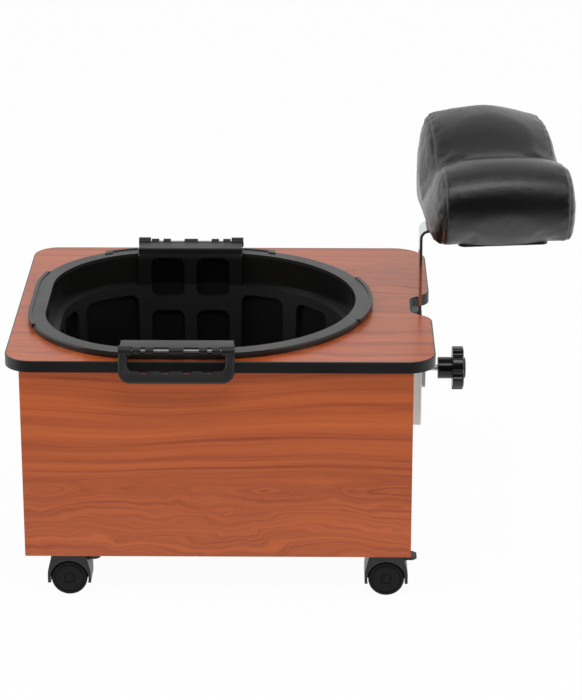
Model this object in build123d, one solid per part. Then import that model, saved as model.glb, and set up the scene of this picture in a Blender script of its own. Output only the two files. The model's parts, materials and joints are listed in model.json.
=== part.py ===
from build123d import *
import os
from math import asin, cos, degrees, radians, sin, tan

# A pedicure cart: a wooden box on four casters, a lift-out foot tub in its top and a
# padded footrest on a flat bar that slides in a channel on the right-hand side.
# Millimetres. X runs to the right, Y to the back, Z up. The origin is on the floor,
# under the middle of the top board.

# Foot tub
tub_length = 479.0
tub_depth = 450.0
tub_height = 258.0
tub_corner = 170.0
tub_left_gap = 21.0
tub_forward = 10.0
tub_wall = 2.6
tub_draft = 2.5
rim_width = 22.0
rim_height = 8.5
rim_thick = 3.0
rim_edge_round = 2.6
tub_ledge_drop = 46.0
tub_ledge = 11.0
tub_bottom_round = 18.0
tub_seat_gap = 0.2
cutout_clearance = 2.0

# Top board and its edging; the tub's size drives the board and the box
board_beside_tub = 105.0
board_round_tub = 37.0
board_width = tub_length + board_beside_tub
board_depth = tub_depth + board_round_tub
board_thick = 16.0
board_front_corner = 38.0
board_back_left_corner = 36.0
board_back_right_corner = 48.0
edging_thick = 1.8
edging_tongue = 7.0
edging_tongue_thick = 2.4
edging_edge = 0.9

# Box under the board
space_under_tub = 20.5
cabinet_height = tub_height + space_under_tub
panel_thick = 14.0
overhang_front = 16.5
overhang_back = 16.5
overhang_left = 20.0
overhang_right = 30.0
dowel_radius = 4.0
dowel_length = 24.0
dowel_end_margin = 45.0
block_side = 52.0
block_screw_inset = 15.6
block_height = 24.0
screw_radius = 2.0
screw_head_radius = 4.0
screw_head_height = 2.4
block_screw_length = 30.0

# Pockets pressed outwards in the tub's lower wall
pocket_depth = 8.0
pocket_round = 12.0
centre_panel_width = 154.0
centre_pocket_width = 49.0
centre_pocket_pitch = 67.0
upper_pocket_top = 4.5
upper_pocket_height = 60.0
lower_pocket_height = 110.0
pocket_row_gap = 21.0
side_pocket_drop = 14.0
side_pocket_height = 145.0
end_pocket_count = 6
end_pocket_first = 11.0
end_pocket_web = 7.6
corner_pockets = ((34.0, 38.0), (73.0, 22.0))
left_pocket_width = 96.0

# Grip lips on the tub's rim
lip_stand_out = 2.2
lip_rise = 1.3
lip_width = 5.0
left_lip_length = 225.0
right_lip_length = 180.0
long_lip_length = 253.0
lip_end_block = 11.0
lip_plate_gap = 3.0

# Tub handles and their hinges
handle_offset_x = 26.0
handle_width = 156.0
handle_drop = 44.0
handle_arm = 12.0
handle_thick = 8.0
handle_grip = 16.5
handle_edge = 1.8
handle_corner = 16.0
handle_finger_depth = 3.4
handle_finger_pitch = 29.0
handle_fingers = 4
eye_radius = 7.0
eye_width = 17.5
front_handle_angle = 25.0
back_handle_angle = 64.0
hinge_rod_radius = 2.0
rod_end_inset = 1.0
hinge_clearance = 0.08
axis_outside_rim = 8.0
axis_above_board = 15.4
hinge_plate_width = 153.0
hinge_plate_depth = 29.0
hinge_plate_top = 17.5
hinge_plate_round = 2.0
knuckle_radius = 5.0
knuckle_web = 3.0
knuckle_step = 0.5
knuckle_gap = 1.5
centre_knuckle_width = 20.0
middle_knuckle_width = 11.0
middle_knuckle_centre = 36.0
outer_knuckle_width = 11.0

# Footrest
rest_forward = 14.0
bar_width = 44.0
bar_thick = 4.0
bar_rise = 119.0
bar_reach = 178.0
bar_bend = 9.0
bar_tail = 12.0
cushion_centre_x = 377.5
cushion_forward = 3.0
cushion_turn = 6.5
cushion_width = 166.0
cushion_depth = 248.0
cushion_front_height = 115.0
cushion_dip_height = 101.0
cushion_dip_y = -12.0
cushion_back_height = 148.0
cushion_front_bolster = 51.0
cushion_front_tuck = 24.0
cushion_back_bolster = 23.0
cushion_side_bulge = 16.0
cushion_bottom_round = 9.0
cushion_seam_share = 0.94
cushion_seam_lean = 1.6
cushion_cap_y = 18.0
cushion_cap_z = 80.0
cushion_cap_steps = ((1.0, 0.0), (0.93, 0.5), (0.8, 0.82), (0.55, 1.0))
cushion_board_thick = 12.0
cushion_board_margin = 12.0
cushion_gap = 0.3

# Channel and clamp on the right-hand side
channel_height = 157.0
channel_wall = 2.0
channel_flange = 12.0
flange_screw_margin = 18.0
flange_screw_length = 11.0
bar_clearance = 0.4
guide_thick = 12.5
guide_height = 112.0
guide_below_top = 6.0
notch_depth_gap = 2.0
notch_deep_half = 28.0
notch_edge_half = 52.0
notch_inner_round = 14.0
notch_shoulder_round = 26.0
clamp_drop = 94.5
nut_plate_side = 45.0
nut_plate_thick = 5.0
nut_plate_corner = 3.0
clamp_screw_radius = 4.0
clamp_screw_tip = 2.5
knob_stand_off = 18.0
knob_hub_radius = 15.5
knob_hub_length = 20.5
knob_radius = 31.3
knob_thick = 16.0
knob_edge = 1.6
knob_cap_thick = 5.0
knob_cap_rise = 3.0
knob_cap_chamfer = 1.5
knob_lobes = 6
knob_notch_radius = 7.5
knob_notch_offset = 2.5
knob_notch_round = 3.75
knob_bore_depth = 24.0
pad_radius = 6.0
pad_thick = 1.0

# Casters
caster_height = 62.5
caster_inset_x = 46.5
caster_inset_y = 30.0
caster_trail = 13.0
wheel_radius = 25.0
wheel_width = 18.5
wheel_edge = 2.5
wheel_dish = 1.2
wheel_hub_radius = 6.0
wheel_cap_thick = 4.0
caster_width = 46.0
web_thick = 7.0
hood_gap = 1.6
hood_top_gap = 1.5
hood_skirt_drop = 6.5
hood_half = 30.0
hood_top_half = 24.0
hood_shoulder = 10.0
hood_round = 40.0
hood_edge = 1.6
axle_radius = 3.0
stem_radius = 5.5
stem_neck_radius = 4.0
stem_grip_length = 24.0
socket_wall = 2.0
socket_flange = 4.0
socket_flange_thick = 1.2
lever_reach = 42.5
lever_start = 13.6
lever_pivot = 17.0
lever_pin_radius = 1.5
lever_width = 23.0
lever_thick = 4.0
lever_clip = 5.5
lever_height = 49.5
lever_slot_below = 3.5
lever_slot_above = 2.0
lever_gap = 0.8
lever_pin_inset = 0.5
running_gap = 0.05

# Levels and faces worked out from the values above
cabinet_bottom = caster_height
cabinet_top = cabinet_bottom + cabinet_height
board_top = cabinet_top + board_thick
board_front = -board_depth / 2
cabinet_left = -board_width / 2 + overhang_left
cabinet_right = board_width / 2 - overhang_right
cabinet_front = board_front + overhang_front
cabinet_back = board_depth / 2 - overhang_back
inside_left = cabinet_left + panel_thick
inside_right = cabinet_right - panel_thick
inside_front = cabinet_front + panel_thick
inside_back = cabinet_back - panel_thick
floor_board_top = cabinet_bottom + panel_thick
tub_left = -board_width / 2 + tub_left_gap
tub_y = -tub_forward
tub_end_x = tub_left + tub_length - tub_depth / 2
rim_top = board_top + rim_height
ledge_z = rim_top - tub_ledge_drop
tub_floor = rim_top - tub_height
hinge_x = tub_left + tub_length / 2 - handle_offset_x
hinge_z = board_top + axis_above_board
hinge_y_offset = tub_depth / 2 + axis_outside_rim
rest_y = -rest_forward
channel_inside = cabinet_right + guide_thick
bar_outer = channel_inside + bar_thick
channel_outer = bar_outer + bar_clearance + channel_wall
bar_bottom = cabinet_top - channel_height + bar_tail
bar_top = board_top + bar_rise
clamp_z = board_top - clamp_drop
channel_half = bar_width / 2 + bar_clearance + channel_wall
nut_plate_outer = channel_outer + nut_plate_thick
wheel_z = wheel_radius


def block(x0, x1, y0, y1, z0, z1):
    """A box given by its lowest and highest corners."""
    centre = ((x0 + x1) / 2, (y0 + y1) / 2, (z0 + z1) / 2)
    return Pos(*centre) * Box(x1 - x0, y1 - y0, z1 - z0)


def rod_z(x, y, z0, z1, radius):
    """An upright round bar."""
    return Pos(x, y, (z0 + z1) / 2) * Cylinder(radius, z1 - z0)


def rod_x(x0, x1, y, z, radius):
    """A round bar along X."""
    return Pos((x0 + x1) / 2, y, z) * Rot(0, 90, 0) * Cylinder(radius, x1 - x0)


def rod_y(x, y0, y1, z, radius):
    """A round bar along Y."""
    return Pos(x, (y0 + y1) / 2, z) * Rot(90, 0, 0) * Cylinder(radius, y1 - y0)


def corner_near(sketch, x, y):
    """The corner of a flat outline that lies nearest to a point."""
    return sorted(sketch.vertices(), key=lambda v: (v.X - x) ** 2 + (v.Y - y) ** 2)[0]


def save(node, shape):
    export_step(shape, f"parts/{node}.step")


# ---------------------------------------------------------------- top board

def board_outline(inset=0.0):
    """The top board's outline, with the notch for the footrest bar in its right edge."""
    half_w = board_width / 2
    half_d = board_depth / 2
    deep = cabinet_right + notch_depth_gap
    outline = Rectangle(board_width, board_depth)
    notch = make_face(Polyline(
        (deep, rest_y - notch_deep_half),
        (half_w, rest_y - notch_edge_half),
        (half_w + notch_edge_half, rest_y - notch_edge_half),
        (half_w + notch_edge_half, rest_y + notch_edge_half),
        (half_w, rest_y + notch_edge_half),
        (deep, rest_y + notch_deep_half),
        close=True))
    outline -= notch
    for x, y, radius in (
            (-half_w, -half_d, board_front_corner),
            (half_w, -half_d, board_front_corner),
            (-half_w, half_d, board_back_left_corner),
            (half_w, half_d, board_back_right_corner),
            (deep, rest_y - notch_deep_half, notch_inner_round),
            (deep, rest_y + notch_deep_half, notch_inner_round),
            (half_w, rest_y - notch_edge_half, notch_shoulder_round),
            (half_w, rest_y + notch_edge_half, notch_shoulder_round)):
        outline = fillet(corner_near(outline, x, y), radius)
    if inset:
        outline = offset(outline, -inset)
    return outline


def slab(outline, z0, z1):
    return extrude(Pos(0, 0, z0) * outline, z1 - z0)


def tub_outline(inset):
    """The tub's outline in plan: a straight left side, two large corners, a round right end."""
    half = tub_depth / 2 - inset
    corner = tub_corner - inset
    left = tub_left + inset
    rise = half - corner
    edges = [
        Line((left, tub_y - rise), (left, tub_y + rise)),
        CenterArc((left + corner, tub_y + rise), corner, 180, -90),
        Line((left + corner, tub_y + half), (tub_end_x, tub_y + half)),
        CenterArc((tub_end_x, tub_y), half, 90, -180),
        Line((tub_end_x, tub_y - half), (left + corner, tub_y - half)),
        CenterArc((left + corner, tub_y - rise), corner, 270, -90),
    ]
    return make_face(edges)


def tongue_zone(outline, reach):
    middle = (cabinet_top + board_top) / 2
    half = edging_tongue_thick / 2
    return slab(outline - offset(outline, -reach), middle - half, middle + half)


def make_top_board():
    outline = board_outline(edging_thick)
    board = slab(outline, cabinet_top, board_top)
    board -= slab(tub_outline(rim_width - tub_wall - cutout_clearance), cabinet_top, board_top)
    board -= tongue_zone(outline, edging_tongue + running_gap)
    for x, y, _, _ in block_places():
        board -= rod_z(x, y, cabinet_top, cabinet_top + board_thick / 2, screw_radius + running_gap)
    return board


def make_top_edging():
    outer = board_outline()
    inner = offset(outer, -edging_thick)
    edging = slab(outer - inner, cabinet_top, board_top)
    outer_edges = edging.faces().sort_by(Axis.Z)[-1].outer_wire().edges()
    edging = chamfer(outer_edges, edging_edge)
    return edging + tongue_zone(inner, edging_tongue)


# ---------------------------------------------------------------- box panels

def dowel_heights():
    """Two dowels high and low in each upright corner joint."""
    return (floor_board_top + dowel_end_margin, cabinet_top - dowel_end_margin)


def corner_dowels(clearance=0.0):
    """Dowels along Y that join the side panels to the front and back panels."""
    grown = dowel_radius + clearance
    half = dowel_length / 2
    rods = []
    for x in (cabinet_left + panel_thick / 2, cabinet_right - panel_thick / 2):
        for y in (inside_front, inside_back):
            reach = half + clearance
            for z in dowel_heights():
                rods.append(rod_y(x, y - reach, y + reach, z, grown))
    return rods


def floor_dowels(clearance=0.0):
    """Dowels along X that carry the floor board between the side panels."""
    grown = dowel_radius + clearance
    reach = dowel_length / 2 + clearance
    rods = []
    for x in (inside_left, inside_right):
        for y in (inside_front + dowel_end_margin, inside_back - dowel_end_margin):
            z = cabinet_bottom + panel_thick / 2
            rods.append(rod_x(x - reach, x + reach, y, z, grown))
    return rods


def bored(panel, tools):
    for tool in tools:
        panel -= tool
    return panel


def block_places():
    """Top corner blocks: the screw's place, then the corner that the block fills."""
    return [(x + block_screw_inset * sx, y + block_screw_inset * sy, (x, sx), (y, sy))
            for x, sx in ((inside_left, 1), (inside_right, -1))
            for y, sy in ((inside_front, 1), (inside_back, -1))]


def caster_places():
    """Name and stem place of each caster."""
    left = cabinet_left + caster_inset_x
    right = cabinet_right - caster_inset_x
    front = cabinet_front + caster_inset_y
    back = cabinet_back - caster_inset_y
    return [(f"{depth}_{side}", x, y)
            for depth, y in (("front", front), ("back", back))
            for side, x in (("left", left), ("right", right))]


def make_panels():
    holes = corner_dowels(running_gap)
    front = block(cabinet_left, cabinet_right, cabinet_front, inside_front, cabinet_bottom, cabinet_top)
    back = block(cabinet_left, cabinet_right, inside_back, cabinet_back, cabinet_bottom, cabinet_top)
    save("front_panel", bored(front, holes))
    save("back_panel", bored(back, holes))
    floor_holes = floor_dowels(running_gap)
    left = block(cabinet_left, inside_left, inside_front, inside_back, cabinet_bottom, cabinet_top)
    right = block(inside_right, cabinet_right, inside_front, inside_back, cabinet_bottom, cabinet_top)
    save("left_panel", bored(left, holes + floor_holes))
    save("right_panel", bored(right, holes + floor_holes + channel_screw_holes()))
    floor = block(inside_left, inside_right, inside_front, inside_back, cabinet_bottom, floor_board_top)
    sockets = [rod_z(x, y, cabinet_bottom, floor_board_top, stem_radius + socket_wall + running_gap)
               for _, x, y in caster_places()]
    save("floor_board", bored(floor, floor_holes + sockets))
    save("dowels", Compound(children=corner_dowels() + floor_dowels()))


def make_corner_blocks():
    """Glued triangular blocks under the board's corners, each with one screw up into the board."""
    blocks = []
    screws = []
    z0 = cabinet_top - block_height
    for x, y, (corner_x, sx), (corner_y, sy) in block_places():
        triangle = make_face(Polyline(
            (corner_x, corner_y), (corner_x + sx * block_side, corner_y),
            (corner_x, corner_y + sy * block_side), close=True))
        wedge = slab(triangle, z0, cabinet_top)
        blocks.append(wedge - rod_z(x, y, z0, cabinet_top, screw_radius + running_gap))
        shank_top = z0 + block_screw_length - running_gap
        screw = rod_z(x, y, z0 - running_gap, shank_top, screw_radius)
        screws.append(screw + rod_z(x, y, z0 - screw_head_height, z0, screw_head_radius))
    save("corner_blocks", Compound(children=blocks))
    save("block_screws", Compound(children=screws))


# ---------------------------------------------------------------- foot tub

def tub_form(inset, z_top, z_bottom):
    """The tub's outline drawn down with its draft; the inset is measured at the rim's top."""
    top = tub_outline(inset + (rim_top - z_top) * tan(radians(tub_draft)))
    return extrude(Pos(0, 0, z_top) * top, z_bottom - z_top, taper=tub_draft)


def centre_panels(z0, z1, grow):
    """The bands in front and behind where the lower wall runs straight up to the rim."""
    half = centre_panel_width / 2 - grow
    near = tub_depth / 4
    far = tub_depth
    return [block(hinge_x - half, hinge_x + half, tub_y + min(side * near, side * far),
                  tub_y + max(side * near, side * far), z0, z1) for side in (-1, 1)]


def pocket(x, y, angle, width, z_top, height, grow):
    """A rounded block that points outwards from (x, y), its angle measured from +X."""
    turn = radians(angle)
    plane = Plane(origin=(x, y, z_top - height / 2), x_dir=(-sin(turn), cos(turn), 0),
                  z_dir=(cos(turn), sin(turn), 0))
    face = RectangleRounded(width + 2 * grow, height + 2 * grow, pocket_round + grow)
    return extrude(plane * face, tub_depth)


def pockets(grow):
    """All the pockets of the lower wall, grown by the wall's thickness for the outside."""
    shapes = []
    upper = rim_top - upper_pocket_top
    lower = upper - upper_pocket_height - pocket_row_gap
    side = ledge_z - side_pocket_drop
    for facing in (-90, 90):
        for x in (hinge_x - centre_pocket_pitch / 2, hinge_x + centre_pocket_pitch / 2):
            shapes.append(pocket(x, tub_y, facing, centre_pocket_width, upper, upper_pocket_height, grow))
            shapes.append(pocket(x, tub_y, facing, centre_pocket_width, lower, lower_pocket_height, grow))
    radius = tub_depth / 2 - rim_width - tub_ledge
    sweep = 180 - 2 * end_pocket_first
    arc = (sweep - (end_pocket_count - 1) * end_pocket_web) / end_pocket_count
    for index in range(end_pocket_count):
        angle = 90 - end_pocket_first - arc / 2 - index * (arc + end_pocket_web)
        width = 2 * radius * sin(radians(arc / 2))
        shapes.append(pocket(tub_end_x, tub_y, angle, width, side, side_pocket_height, grow))
    corner = tub_corner - rim_width - tub_ledge
    corner_x = tub_left + tub_corner
    rise = tub_depth / 2 - tub_corner
    for angle, arc in corner_pockets:
        width = 2 * corner * sin(radians(arc / 2))
        for turn, y in ((90 + angle, tub_y + rise), (270 - angle, tub_y - rise)):
            shapes.append(pocket(corner_x, y, turn, width, side, side_pocket_height, grow))
    shapes.append(pocket(corner_x, tub_y, 180, left_pocket_width, side, side_pocket_height, grow))
    return shapes


def tub_body(grow):
    """The space inside the tub, or with grow set to the wall its outer body."""
    drop = grow / cos(radians(tub_draft))
    upper = tub_form(rim_width - drop, rim_top, ledge_z - grow)
    for panel in centre_panels(ledge_z - 2 * grow, rim_top, grow):
        upper -= panel
    lower = tub_form(rim_width + tub_ledge - drop, rim_top, tub_floor - grow)
    bottom = lower.faces().sort_by(Axis.Z)[0].edges()
    lower = fillet(bottom, tub_bottom_round + grow)
    body = upper + lower
    limit = tub_form(rim_width + tub_ledge - pocket_depth - drop, rim_top, tub_floor)
    for shape in pockets(grow):
        body += shape & limit
    return body


def rim_lips():
    """Low lips along the rim's outer edge: a finger grip at each end, a long one on each side."""
    z0 = board_top + rim_height / 2
    z1 = rim_top + lip_rise
    band = slab(tub_outline(-lip_stand_out) - tub_outline(lip_width - lip_stand_out), z0, z1)
    middle = tub_left + tub_length / 2
    left_half = left_lip_length / 2
    right_half = right_lip_length / 2
    left_end = tub_left - lip_width
    right_end = tub_left + tub_length + lip_width
    lips = [band & block(left_end, middle, tub_y - left_half, tub_y + left_half, z0, z1),
            band & block(middle, right_end, tub_y - right_half, tub_y + right_half, z0, z1)]
    end_z = rim_top - rim_thick / 2
    ends = slab(tub_outline(-lip_stand_out) - tub_outline(lip_end_block - lip_stand_out), end_z, z1)
    plate_end = hinge_plate_width / 2 + lip_plate_gap
    for depth in (-tub_depth, tub_depth):
        y0, y1 = sorted((tub_y, tub_y + depth))
        for side in (-1, 1):
            far = long_lip_length / 2
            x0, x1 = sorted((hinge_x + side * plate_end, hinge_x + side * far))
            lips.append(band & block(x0, x1, y0, y1, z0, z1))
            x0, x1 = sorted((hinge_x + side * (far - lip_end_block), hinge_x + side * far))
            lips.append(ends & block(x0, x1, y0, y1, end_z, z1))
    return lips


def make_tub():
    shell = tub_body(tub_wall)
    outer = tub_outline(0)
    shell += slab(outer - tub_outline(rim_width), rim_top - rim_thick, rim_top)
    shell += slab(outer - tub_outline(tub_wall), board_top + tub_seat_gap, rim_top)
    cap = tub_outline(rim_width - tub_wall) - tub_outline(rim_width + tub_ledge)
    for panel in centre_panels(rim_top - rim_thick, rim_top, 0):
        shell += slab(cap, rim_top - rim_thick, rim_top) & panel
    shell -= tub_body(0)
    shell = fillet(shell.faces().sort_by(Axis.Z)[-1].outer_wire().edges(), rim_edge_round)
    for lip in rim_lips():
        shell += lip
    return shell


# ---------------------------------------------------------------- tub handles

def knuckle_spans():
    """Start and end of each of the five plastic knuckles, from the hinge's middle."""
    eye_inner = handle_width / 2 - eye_width
    outer_end = eye_inner - knuckle_gap
    spans = [(-centre_knuckle_width / 2, centre_knuckle_width / 2)]
    for side in (-1, 1):
        middle = side * middle_knuckle_centre
        spans.append((middle - middle_knuckle_width / 2, middle + middle_knuckle_width / 2))
        spans.append(tuple(sorted((side * (outer_end - outer_knuckle_width), side * outer_end))))
    return spans


def make_hinge_plate():
    """The hinge plate on the front of the rim; the axis is at Y 0, Z 0 and the tub is behind it."""
    top = hinge_plate_top - axis_above_board
    bottom = rim_height - axis_above_board
    half = hinge_plate_width / 2
    plate = block(-half, half, axis_outside_rim, axis_outside_rim + hinge_plate_depth, bottom, top)
    plate = fillet(plate.edges().filter_by(Axis.X).group_by(Axis.Z)[-1], hinge_plate_round)
    for x0, x1 in knuckle_spans():
        plate += block(x0, x1, 0, axis_outside_rim + hinge_plate_round, -knuckle_web, top - knuckle_step)
        plate += rod_x(x0, x1, 0, 0, knuckle_radius)
    return plate - rod_x(-half, half, 0, 0, hinge_rod_radius + running_gap)


def make_handle():
    """The bail, hanging straight down from its axis along X."""
    half = handle_width / 2
    inner = half - handle_arm
    grip_top = handle_drop - handle_grip
    outline = Pos(0, -handle_drop / 2) * Rectangle(handle_width, handle_drop)
    for side in (-1, 1):
        outline = fillet(corner_near(outline, side * half, -handle_drop), handle_corner)
    opening = Pos(0, -grip_top / 2) * Rectangle(2 * inner, grip_top)
    for side in (-1, 1):
        opening = fillet(corner_near(opening, side * inner, -grip_top), handle_corner / 2)
    finger_radius = (handle_finger_pitch ** 2 / 16 + handle_finger_depth ** 2) / (2 * handle_finger_depth)
    for index in range(handle_fingers):
        x = (index - (handle_fingers - 1) / 2) * handle_finger_pitch
        opening += Pos(x, -grip_top - handle_finger_depth + finger_radius) * Circle(finger_radius)
    bail = extrude(outline - opening, handle_thick / 2, both=True)
    bail = Rot(90, 0, 0) * bail
    faces = bail.faces().sort_by(Axis.Y)
    rims = (faces[0].edges() + faces[-1].edges()).filter_by(lambda e: e.center().Z < -eye_radius)
    bail = chamfer(rims, handle_edge)
    for side in (-1, 1):
        ends = sorted((side * half, side * (half - eye_width)))
        bail += rod_x(*ends, 0, 0, eye_radius)
        bail -= block(*ends, -eye_radius, eye_radius, eye_radius, handle_drop)
    return bail - rod_x(-half, half, 0, 0, hinge_rod_radius + hinge_clearance)


def make_tub_handles():
    """The front hinge parts, and the same three pieces turned round for the back."""
    plate = make_hinge_plate()
    rod_half = handle_width / 2 - rod_end_inset
    rod = rod_x(-rod_half, rod_half, 0, 0, hinge_rod_radius)
    bail = make_handle()
    for name, side, angle in (("front", -1, front_handle_angle), ("back", 1, back_handle_angle)):
        place = Pos(hinge_x, tub_y + side * hinge_y_offset, hinge_z)
        turn = Rot(0, 0, 0 if side < 0 else 180)
        save(f"{name}_hinge_plate", place * turn * plate)
        save(f"{name}_hinge_rod", place * turn * rod)
        save(f"{name}_handle", place * turn * Rot(-angle, 0, 0) * bail)


# ---------------------------------------------------------------- footrest

def make_bar():
    """The flat steel bar, bent at a right angle under the cushion."""
    end_x = channel_inside + bar_reach
    path = make_face(Polyline(
        (channel_inside, bar_bottom), (bar_outer, bar_bottom), (bar_outer, bar_top - bar_thick),
        (end_x, bar_top - bar_thick), (end_x, bar_top), (channel_inside, bar_top), close=True))
    path = fillet(corner_near(path, bar_outer, bar_top - bar_thick), bar_bend)
    path = fillet(corner_near(path, channel_inside, bar_top), bar_bend + bar_thick)
    bar = Pos(0, rest_y, 0) * Rot(90, 0, 0) * extrude(path, bar_width / 2, both=True)
    for x, y in cushion_screw_places():
        bar -= rod_z(x, y, bar_top - bar_thick, bar_top, screw_radius + running_gap)
    return bar


def cushion_screw_places():
    along = cushion_width / 4
    across = bar_width / 4
    return [(cushion_centre_x + dx, rest_y + dy) for dx in (-along, along) for dy in (-across, across)]


def on_cushion(shape):
    """Puts a shape drawn round the cushion's middle in its place on the bar."""
    return Pos(cushion_centre_x, rest_y - cushion_forward, bar_top) * Rot(0, 0, cushion_turn) * shape


def cushion_profile(height_share=1.0, size_share=1.0):
    """The cushion from the side, drawn as one closed line round a front roll, a dip and a back ridge."""
    half = cushion_depth / 2
    front = cushion_front_bolster
    back = cushion_back_bolster
    front_top = height_share * cushion_front_height
    dip_top = height_share * cushion_dip_height
    back_top = height_share * cushion_back_height
    roll_z = front_top - front
    tuck_radius = (cushion_front_tuck ** 2 + roll_z ** 2) / (2 * cushion_front_tuck)
    sweep = degrees(asin(roll_z / tuck_radius))
    edges = [
        CenterArc((tuck_radius - half, roll_z), tuck_radius, 180 + sweep, -sweep),
        CenterArc((front - half, roll_z), front, 180, -90),
        Spline((front - half, front_top), (cushion_dip_y, dip_top), (half - back, back_top),
               tangents=((1, 0), (1, 0))),
        CenterArc((half - back, back_top - back), back, 90, -90),
        Line((half, back_top - back), (half, 0)),
        Line((half, 0), (cushion_front_tuck - half, 0)),
    ]
    profile = make_face(edges)
    for y in (cushion_front_tuck - half, half):
        profile = fillet(corner_near(profile, y, 0), cushion_bottom_round)
    middle = (cushion_cap_y, cushion_cap_z)
    return Pos(*middle) * scale(Pos(-middle[0], -middle[1]) * profile, size_share)


def cushion_section(profile, x, lean):
    """Sets a profile upright at a distance along the cushion, leaning inwards towards the back."""
    turn = radians(lean)
    along = (-sin(turn), cos(turn), 0)
    facing = (cos(turn), sin(turn), 0)
    return Plane(origin=(x, 0, 0), x_dir=along, z_dir=facing) * profile


def cushion_form():
    """The padded top between its two seams, crowned in the middle, with a bulged cap on each end."""
    seam = cushion_profile(cushion_seam_share)
    half = cushion_width / 2
    sections = [
        cushion_section(seam, -half, -cushion_seam_lean),
        cushion_section(cushion_profile(), 0, 0),
        cushion_section(seam, half, cushion_seam_lean),
    ]
    form = loft(sections)
    for side in (-1, 1):
        caps = []
        for share, bulge in cushion_cap_steps:
            shrunk = cushion_profile(cushion_seam_share, share)
            x = side * (half + bulge * cushion_side_bulge)
            caps.append(cushion_section(shrunk, x, side * cushion_seam_lean))
        form += loft(caps, ruled=True)
    return form


def make_cushion():
    board_w = cushion_width - 2 * cushion_board_margin - 2 * cushion_bottom_round
    board_d = cushion_depth - 2 * cushion_board_margin - 2 * cushion_front_tuck
    board = extrude(RectangleRounded(board_w, board_d, cushion_bottom_round), cushion_board_thick)
    bed_outline = RectangleRounded(board_w + 2 * cushion_gap, board_d + 2 * cushion_gap, cushion_bottom_round)
    bed = extrude(bed_outline, cushion_board_thick + cushion_gap)
    pad = Pos(0, 0, cushion_gap) * cushion_form() - bed
    board = on_cushion(board)
    screws = []
    screw_tip = bar_top + cushion_board_thick / 2
    head_z = bar_top - bar_thick
    for x, y in cushion_screw_places():
        board -= rod_z(x, y, bar_top, screw_tip + screw_radius, screw_radius + running_gap)
        shank = rod_z(x, y, head_z, screw_tip, screw_radius)
        screws.append(shank + rod_z(x, y, head_z - screw_head_height, head_z, screw_head_radius))
    save("cushion_board", board)
    save("cushion_pad", on_cushion(pad))
    save("cushion_screws", Compound(children=screws))


# ---------------------------------------------------------------- channel and clamp

def channel_screw_places():
    y_offset = channel_half + channel_flange / 2
    z_low = cabinet_top - channel_height + flange_screw_margin
    z_high = cabinet_top - flange_screw_margin
    return [(rest_y + side * y_offset, z) for side in (-1, 1) for z in (z_low, (z_low + z_high) / 2, z_high)]


def channel_screw_holes():
    deep = cabinet_right - flange_screw_length
    return [rod_x(deep, cabinet_right, y, z, screw_radius + running_gap)
            for y, z in channel_screw_places()]


def make_channel():
    """A hat section: the web outside, two side walls and two screwed flanges."""
    z0 = cabinet_top - channel_height
    wall = channel_wall
    y0 = rest_y - channel_half
    y1 = rest_y + channel_half
    outer = block(cabinet_right, channel_outer, y0, y1, z0, cabinet_top)
    inner = block(cabinet_right, channel_outer - wall, y0 + wall, y1 - wall, z0, cabinet_top)
    upright = outer.edges().filter_by(Axis.Z).group_by(Axis.X)[-1]
    hat = fillet(upright, wall) - inner
    face = cabinet_right + wall
    flanges = block(cabinet_right, face, y0 - channel_flange, y1 + channel_flange, z0, cabinet_top)
    hat += flanges - inner
    for y, z in channel_screw_places():
        hat -= rod_x(cabinet_right, cabinet_right + wall, y, z, screw_radius + running_gap)
    return hat - rod_x(channel_outer - wall, channel_outer, rest_y, clamp_z, pad_radius + bar_clearance)


def make_channel_screws():
    screws = []
    face = cabinet_right + channel_wall
    for y, z in channel_screw_places():
        shank = rod_x(cabinet_right - flange_screw_length + running_gap, face, y, z, screw_radius)
        screws.append(shank + rod_x(face, face + screw_head_height, y, z, screw_head_radius))
    return Compound(children=screws)


def make_guide():
    """The plastic block behind the bar; its head stands up inside the board's notch."""
    half = bar_width / 2
    x1 = channel_inside - bar_clearance
    low = block(cabinet_right, x1, rest_y - half, rest_y + half, cabinet_top - guide_height, cabinet_top)
    x0 = cabinet_right + notch_depth_gap + bar_clearance
    head_half = notch_deep_half - notch_inner_round
    head = block(x0, x1, rest_y - head_half, rest_y + head_half, cabinet_top, board_top - guide_below_top)
    return low + head


def make_nut_plate():
    x0 = channel_outer
    half = nut_plate_side / 2
    plate = block(x0, nut_plate_outer, rest_y - half, rest_y + half, clamp_z - half, clamp_z + half)
    plate = chamfer(plate.edges().filter_by(Axis.X), nut_plate_corner)
    return plate - rod_x(x0, nut_plate_outer, rest_y, clamp_z, clamp_screw_radius + running_gap)


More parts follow.
